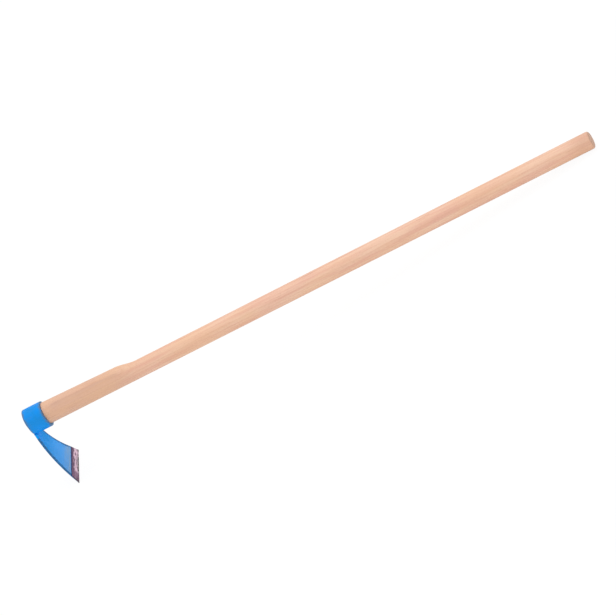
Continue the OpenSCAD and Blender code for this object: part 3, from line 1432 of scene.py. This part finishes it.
@dataclass
class Blade:
    """The curved fan: thick at the ring, thin at the edge, with hollow sides and a ground bevel."""

    tool: Tool
    eye: Eye
    finish: Finish = BladeFinish("enamel_and_ground_edge")
    neck_step: float = 0.0027
    side_hollow: float = 0.0028
    bend_radius: float = 0.275
    root_thickness: float = 0.0045
    edge_thickness: float = 0.0028
    bevel_width: float = 0.019
    edge_land: float = 0.0005
    weld_gap: float = 0.0001
    side_round: float = 0.0009
    side_round_share: float = 0.42
    crease: float = 0.00012
    # Reach of the darker sides, near and far: worn paint, and partly painted shade along the edges.
    near_wear_and_shade: float = 0.0045
    far_wear_and_shade: float = 0.011
    fade_below_ring: float = 0.006
    columns: int = 24
    outer_column_shares: Pair = (0.34, 0.67)
    plate_rows: int = 44
    bevel_rows: int = 10
    side_steps: int = 4
    seat_tries: int = 12
    sharp: float = 32.0

    def __post_init__(self) -> None:
        """Works out the arcs of the faces and sides, and where the bevel starts."""
        box = self.tool.box(Part.BLADE)
        self.drop, self.horn_z = -box.low.z, box.high.z
        self.root_z = -self.eye.outer_radius
        self.seat_radius = self.eye.outer_radius + self.weld_gap
        self._bend_faces()
        self._hollow_sides(Vector((box.high.y, box.low.z)))

    def _bend_faces(self) -> None:
        """Works out the arc of the back face and the start of the bevel, seen from the side."""
        reach = self.drop + self.root_z
        edge_angle = math.asin(reach / self.bend_radius)
        self.edge_x = self.bend_radius * (1 - math.cos(edge_angle))
        inner_edge = Vector((
            self.edge_x + self.edge_thickness * math.cos(edge_angle) - self.root_thickness,
            self.edge_thickness * math.sin(edge_angle) - reach,
        ))
        self.back_radius = inner_edge.length_squared / (2 * inner_edge.x)
        bevel_angle = edge_angle - self.bevel_width / self.bend_radius
        across = Vector((math.cos(bevel_angle), math.sin(bevel_angle)))
        foot = Vector((self.bend_radius, self.root_z)) - self.bend_radius * across
        away = foot - Vector((self.root_thickness + self.back_radius, self.root_z))
        along = away.dot(across)
        thickness = -along - math.sqrt(along * along - away.length_squared + self.back_radius**2)
        self.bevel_start = foot + thickness * across

    def _hollow_sides(self, corner: Vector) -> None:
        """Works out the arc of the sides, seen from the handle.

        Args:
            corner: The corner of the cutting edge, sideways and upwards.
        """
        neck = Vector((self.eye.outer_radius - self.neck_step, self.root_z))
        chord = corner - neck
        outward = Vector((-chord.y, chord.x)).normalized()
        self.side_radius = (chord.length_squared / 4 + self.side_hollow**2) / (2 * self.side_hollow)
        self.side_centre = (neck + corner) / 2 + (self.side_radius - self.side_hollow) * outward

    def front_x(self, z: float) -> float:
        """Finds the front face at a height."""
        return self.bend_radius - math.sqrt(self.bend_radius**2 - (z - self.root_z) ** 2)

    def back_x(self, z: float) -> float:
        """Finds the face towards the handle at a height, the bevel included.

        Args:
            z: The height.

        Returns:
            The place along the handle.
        """
        if z >= self.bevel_start.y:
            centre = self.root_thickness + self.back_radius
            return centre - math.sqrt(self.back_radius**2 - (z - self.root_z) ** 2)
        share = (self.bevel_start.y - z) / (self.bevel_start.y + self.drop)
        return self.bevel_start.x + (self.edge_x + self.edge_land - self.bevel_start.x) * share

    def half_width(self, z: float) -> float:
        """Finds half of the blade's width at a height."""
        rise = self.side_centre.y - z
        return self.side_centre.x - math.sqrt(self.side_radius**2 - rise * rise)

    def rounding(self, z: float) -> float:
        """Finds the rounding of the plate's sides at a height, which its thickness limits."""
        return min(self.side_round, self.side_round_share * (self.back_x(z) - self.front_x(z)))

    def top_z(self, share: float) -> float:
        """Finds the top of the plate, which is the seat round the ring or the top of a horn beside it.

        Args:
            share: Place across the plate, as a share of its half width.

        Returns:
            The height.
        """
        z = self.horn_z
        for _ in range(self.seat_tries):
            y = share * self.half_width(z)
            z = min(self.horn_z, -math.sqrt(max(0.0, self.seat_radius**2 - y * y)))
        return z

    def column_shares(self) -> list[float]:
        """Lists the columns across the plate but for its two sides, with one at each corner of the seat.

        Returns:
            Places across the plate, as shares of its half width.
        """
        seat_half = math.sqrt(self.seat_radius**2 - self.horn_z**2)
        corner = seat_half / self.half_width(self.horn_z)
        inner = [corner * i / self.columns for i in range(-self.columns, self.columns + 1)]
        outer = [corner + (1 - corner) * share for share in self.outer_column_shares]
        return [-share for share in reversed(outer)] + inner + outer

    def heights(self, share: float) -> list[float]:
        """Lists the rows of one column, from the seat to the cutting edge, close together at the bevel.

        Args:
            share: Place across the plate, as a share of its half width.

        Returns:
            The heights, from the top.
        """
        plate = (self.top_z(share), self.bevel_start.y + self.crease, self.plate_rows)
        bevel = (self.bevel_start.y - self.crease, -self.drop, self.bevel_rows)
        return [
            start + (end - start) * i / count
            for start, end, count in (plate, bevel)
            for i in range(count + 1)
        ]

    def side_points(self, z: float, side: int) -> Ring:
        """Lists the points round one side of the plate at a height, from the front face to the back.

        Args:
            z: The height.
            side: 1 for +Y and -1 for the other side.

        Returns:
            The points.
        """
        front, back, bend = self.front_x(z), self.back_x(z), self.rounding(z)
        inner = self.half_width(z) - bend
        turns = quarter(self.side_steps)
        fore = [(front + bend * (1 - cosine), side * (inner + bend * sine), z) for sine, cosine in turns]
        return fore + [(front + back - x, y, z) for x, y, z in reversed(fore)]

    def rows(self) -> list[Ring]:
        """Lists the rows of the plate, each from the front face round by way of +Y.

        Returns:
            The rows, from the seat to the cutting edge.
        """
        shares = self.column_shares()
        columns = [self.heights(share) for share in shares]
        rows: list[Ring] = []
        for i, end in enumerate(self.heights(1.0)):
            flat = []
            for share, heights in zip(shares, columns):
                z = heights[i]
                flat.append((share * (self.half_width(z) - self.rounding(z)), z))
            front = [(self.front_x(z), y, z) for y, z in flat]
            back = [(self.back_x(z), y, z) for y, z in reversed(flat)]
            rows.append(front + self.side_points(end, 1) + back + self.side_points(end, -1)[::-1])
        return rows

    def plate(self) -> bpy.types.Object:
        """Skins the plate and closes its seat and its cutting edge with narrow strips.

        Returns:
            The plate.
        """
        rows = self.rows()
        points, faces = skin(rows)
        count, last = len(rows[0]), len(points) - len(rows[0])
        half_side = self.side_steps + 1
        front = [i % count for i in range(-half_side, count // 2 - half_side)]
        back = [(2 * front[0] - 1 - i) % count for i in front]
        for i in range(len(front) - 1):
            quad = (front[i], front[i + 1], back[i + 1], back[i])
            faces += [quad, [last + corner for corner in quad]]
        return make_object("blade_enamelled", points, faces)

    def rim(self, point: Vector) -> float:
        """Tells how near a point lies to a sheared side of the plate, which is darkened there as worn paint
        and as painted shade; the darkening fades out at its top, next to the ring.

        Args:
            point: The point.

        Returns:
            1 at a side and 0 away from it.
        """
        side = self.half_width(min(point.z, self.horn_z)) - abs(point.y)
        reach = self.far_wear_and_shade if point.y > 0 else self.near_wear_and_shade
        faded_in = smooth_share(self.root_z - point.z, 0.0, self.fade_below_ring)
        return faded_in * (1 - smooth_share(side, self.side_round, reach))

    def ground(self, point: Vector) -> float:
        """Tells how far a point lies past the line where the grinding starts, in metres.

        Args:
            point: The point.

        Returns:
            The distance, which is below 0 on the painted plate.
        """
        z = max(point.z, -self.drop)
        on_back = point.x > (self.front_x(z) + self.back_x(z)) / 2
        line = self.bevel_start.y if on_back else self.edge_land - self.drop
        return line - point.z

    def build(self, workshop: Workshop) -> list[bpy.types.Object]:
        """Builds and dresses the plate.

        Args:
            workshop: Dresses the piece.

        Returns:
            The piece.
        """
        marks = {Mark.RIM: self.rim, Mark.GROUND: self.ground}
        return [workshop.dress(self.plate(), Part.BLADE, self.finish, self.sharp, marks)]


@dataclass
class Welds:
    """The two beads that join the plate to the ring, laid in overlapping ripples."""

    tool: Tool
    eye: Eye
    corner_x: float
    seat_crown: float
    finish: Finish = ENAMEL
    ripple_pitch: float = 0.0022
    ripple_share: float = 0.14
    end_share: float = 0.35
    end_ripples: float = 1.5
    wear: float = 0.15
    steps_per_ripple: int = 6
    corner_steps: int = 8
    bead_steps: int = 6
    sharp: float = 50.0

    def inner_section(self, size: float) -> list[Pair]:
        """Lists a quarter round that fills the corner between the ring's underside and the plate.

        Args:
            size: The bead's radius.

        Returns:
            Places along the handle and radii.
        """
        root, turns = self.eye.outer_radius - self.seat_crown, quarter(self.corner_steps)
        curve = [(self.corner_x + size * sine, root + size * cosine) for sine, cosine in turns]
        return curve + [(self.corner_x, root)]

    def outer_section(self, size: float) -> list[Pair]:
        """Lists a half round that stands on the front of the ring and the plate, over their seam.

        Args:
            size: The bead's radius.

        Returns:
            Places along the handle and radii.
        """
        turns, middle = quarter(self.bead_steps), self.eye.outer_radius
        rise = [(-size * cosine, middle + size * sine) for sine, cosine in turns]
        return rise + [(-size * cosine, middle - size * sine) for sine, cosine in turns[:0:-1]]

    def sweep(self, name: str, part: Part, section: Callable[[float], list[Pair]]) -> bpy.types.Object:
        """Sweeps a rippled section round the lower side of the ring.

        Args:
            name: The piece's name.
            part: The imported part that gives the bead's size.
            section: Gives the section at a size.

        Returns:
            The bead.
        """
        box = self.tool.box(part)
        half_arc = math.asin(box.high.y / -box.low.z)
        ripples = round(2 * half_arc * self.eye.outer_radius / self.ripple_pitch)
        count = ripples * self.steps_per_ripple
        rings: list[Ring] = []
        for i in range(count + 1):
            share = i / count
            turn = half_arc * (2 * share - 1) - math.pi / 2
            beat = (share * ripples) % 1.0
            ripple = 1 - self.ripple_share * (1 - math.sqrt(1 - (1 - beat) ** 2))
            taper = math.sqrt(min(1.0, min(share, 1 - share) * ripples / self.end_ripples))
            full = -box.low.z - self.eye.outer_radius
            size = full * ripple * (self.end_share + (1 - self.end_share) * taper)
            rings.append([(x, r * math.cos(turn), r * math.sin(turn)) for x, r in section(size)])
        return loft(name, rings)

    def build(self, workshop: Workshop) -> list[bpy.types.Object]:
        """Builds and dresses both beads.

        Args:
            workshop: Dresses the pieces.

        Returns:
            The pieces.
        """
        marks = {Mark.RIM: lambda point: self.wear}
        beads = (
            ("weld_bead_inner", Part.INNER_WELD, self.inner_section),
            ("weld_bead_outer", Part.OUTER_WELD, self.outer_section),
        )
        return [
            workshop.dress(self.sweep(name, part, section), part, self.finish, self.sharp, marks)
            for name, part, section in beads
        ]


class Lamp(NamedTuple):
    """A round soft lamp: its place and size in metres and its power in watts."""

    name: str
    place: Point
    size: float
    power: float


@dataclass
class Studio:
    """A pale floor, soft light and the camera that saw the tool in the photograph."""

    aim: Point = (-0.0169, -0.0255, 0.0458)
    distance: float = 7.5
    azimuth: float = math.radians(20.113)
    elevation: float = math.radians(29.862)
    roll: float = math.radians(42.2)
    lens: float = 237.5
    sensor: float = 36.0
    far_clip: float = 100.0
    floor_half: float = 30.0
    floor_colour: Colour = (0.88, 0.88, 0.88, 1.0)
    floor_shine: float = 0.9
    floor_glow: float = 1.03
    ambient: float = 0.88
    key: Lamp = Lamp("key", (0.5, 1.3, 4.0), 2.4, 36.0)
    fill: Lamp = Lamp("fill", (1.6, -4.0, 2.6), 2.4, 6.0)

    @staticmethod
    def seen_rays(graph: Graph) -> Socket:
        """Picks out the rays that show the background itself: from the camera, in gloss and through glass.

        Args:
            graph: The nodes of the floor or of the world.

        Returns:
            1 for those rays and 0 for the others.
        """
        path = graph.add("LightPath").outputs
        shine = graph.math("MAXIMUM", path["Is Glossy Ray"], path["Is Transmission Ray"])
        return graph.math("MAXIMUM", path["Is Camera Ray"], shine)

    def build_floor(self) -> None:
        """Builds the floor, which glows a little for the camera and still takes the shadow."""
        half = self.floor_half
        corners = [(-half, -half, 0.0), (half, -half, 0.0), (half, half, 0.0), (-half, half, 0.0)]
        floor = make_object("floor", corners, [(0, 1, 2, 3)])
        material = bpy.data.materials.new("pale_floor")
        material.use_nodes = True
        graph = Graph(material.node_tree)
        matt = graph.add("BsdfDiffuse", {"Color": self.floor_colour}).outputs[0]
        glow = graph.add("Emission", {"Strength": self.floor_glow}).outputs[0]
        share = graph.math("MULTIPLY", self.seen_rays(graph), self.floor_shine)
        mixed = graph.add("MixShader", {0: share, 1: matt, 2: glow})
        graph.add("OutputMaterial", {"Surface": mixed.outputs[0]})
        floor.data.materials.append(material)

    def build_world(self) -> None:
        """Lights the scene evenly from all round, with a white background."""
        world = bpy.data.worlds.new("studio")
        bpy.context.scene.world = world
        world.use_nodes = True
        graph = Graph(world.node_tree)
        soft = graph.add("Background", {"Color": WHITE, "Strength": self.ambient}).outputs[0]
        white = graph.add("Background", {"Color": WHITE, "Strength": 1.0}).outputs[0]
        mixed = graph.add("MixShader", {0: self.seen_rays(graph), 1: soft, 2: white})
        graph.add("OutputWorld", {"Surface": mixed.outputs[0]})

    def build_lamps(self) -> None:
        """Hangs the soft lamps, each turned to the middle of the tool."""
        for spec in (self.key, self.fill):
            lamp = bpy.data.lights.new(spec.name, "AREA")
            lamp.shape = "DISK"
            lamp.size = spec.size
            lamp.energy = spec.power
            holder = bpy.data.objects.new(spec.name, lamp)
            holder.location = spec.place
            toward = Vector(self.aim) - Vector(spec.place)
            holder.rotation_euler = toward.to_track_quat("-Z", "Y").to_euler()
            bpy.context.scene.collection.objects.link(holder)

    def build_camera(self) -> None:
        """Sets up the camera, turned about its own axis as the photograph is."""
        lens = bpy.data.cameras.new("camera")
        lens.lens = self.lens
        lens.sensor_width = self.sensor
        lens.clip_end = self.far_clip
        camera = bpy.data.objects.new("camera", lens)
        flat = math.cos(self.elevation)
        sideways, forward = math.sin(self.azimuth) * flat, math.cos(self.azimuth) * flat
        back = Vector((sideways, -forward, math.sin(self.elevation)))
        turn = (-back).to_track_quat("-Z", "Y").to_matrix() @ Matrix.Rotation(-self.roll, 3, "Z")
        place = Vector(self.aim) + back * self.distance
        camera.matrix_world = Matrix.Translation(place) @ turn.to_4x4()
        bpy.context.scene.collection.objects.link(camera)
        bpy.context.scene.camera = camera

    def build(self) -> None:
        """Builds the whole studio."""
        bpy.context.scene.view_settings.view_transform = "Standard"
        self.build_world()
        self.build_floor()
        self.build_lamps()
        self.build_camera()


def main() -> None:
    """Sets up the studio and builds the hoe in it, one sub-assembly after another."""
    logging.basicConfig(level=logging.INFO, format="%(name)s: %(message)s")
    Studio().build()
    tool = Tool(frame)
    workshop = Workshop(tool)
    eye = Eye.measured(tool)
    wedges = Wedges(tool, eye)
    handle = Handle(tool, eye, wedges)
    ring = EyeRing(eye)
    blade = Blade(tool, eye)
    welds = Welds(tool, eye, corner_x=blade.root_thickness, seat_crown=ring.crown)
    for assembly in (handle, ring, blade, welds, wedges):
        for piece in assembly.build(workshop):
            LOG.info("%s: %d faces", piece.name, len(piece.data.polygons))


if __name__ == "__main__":
    main()
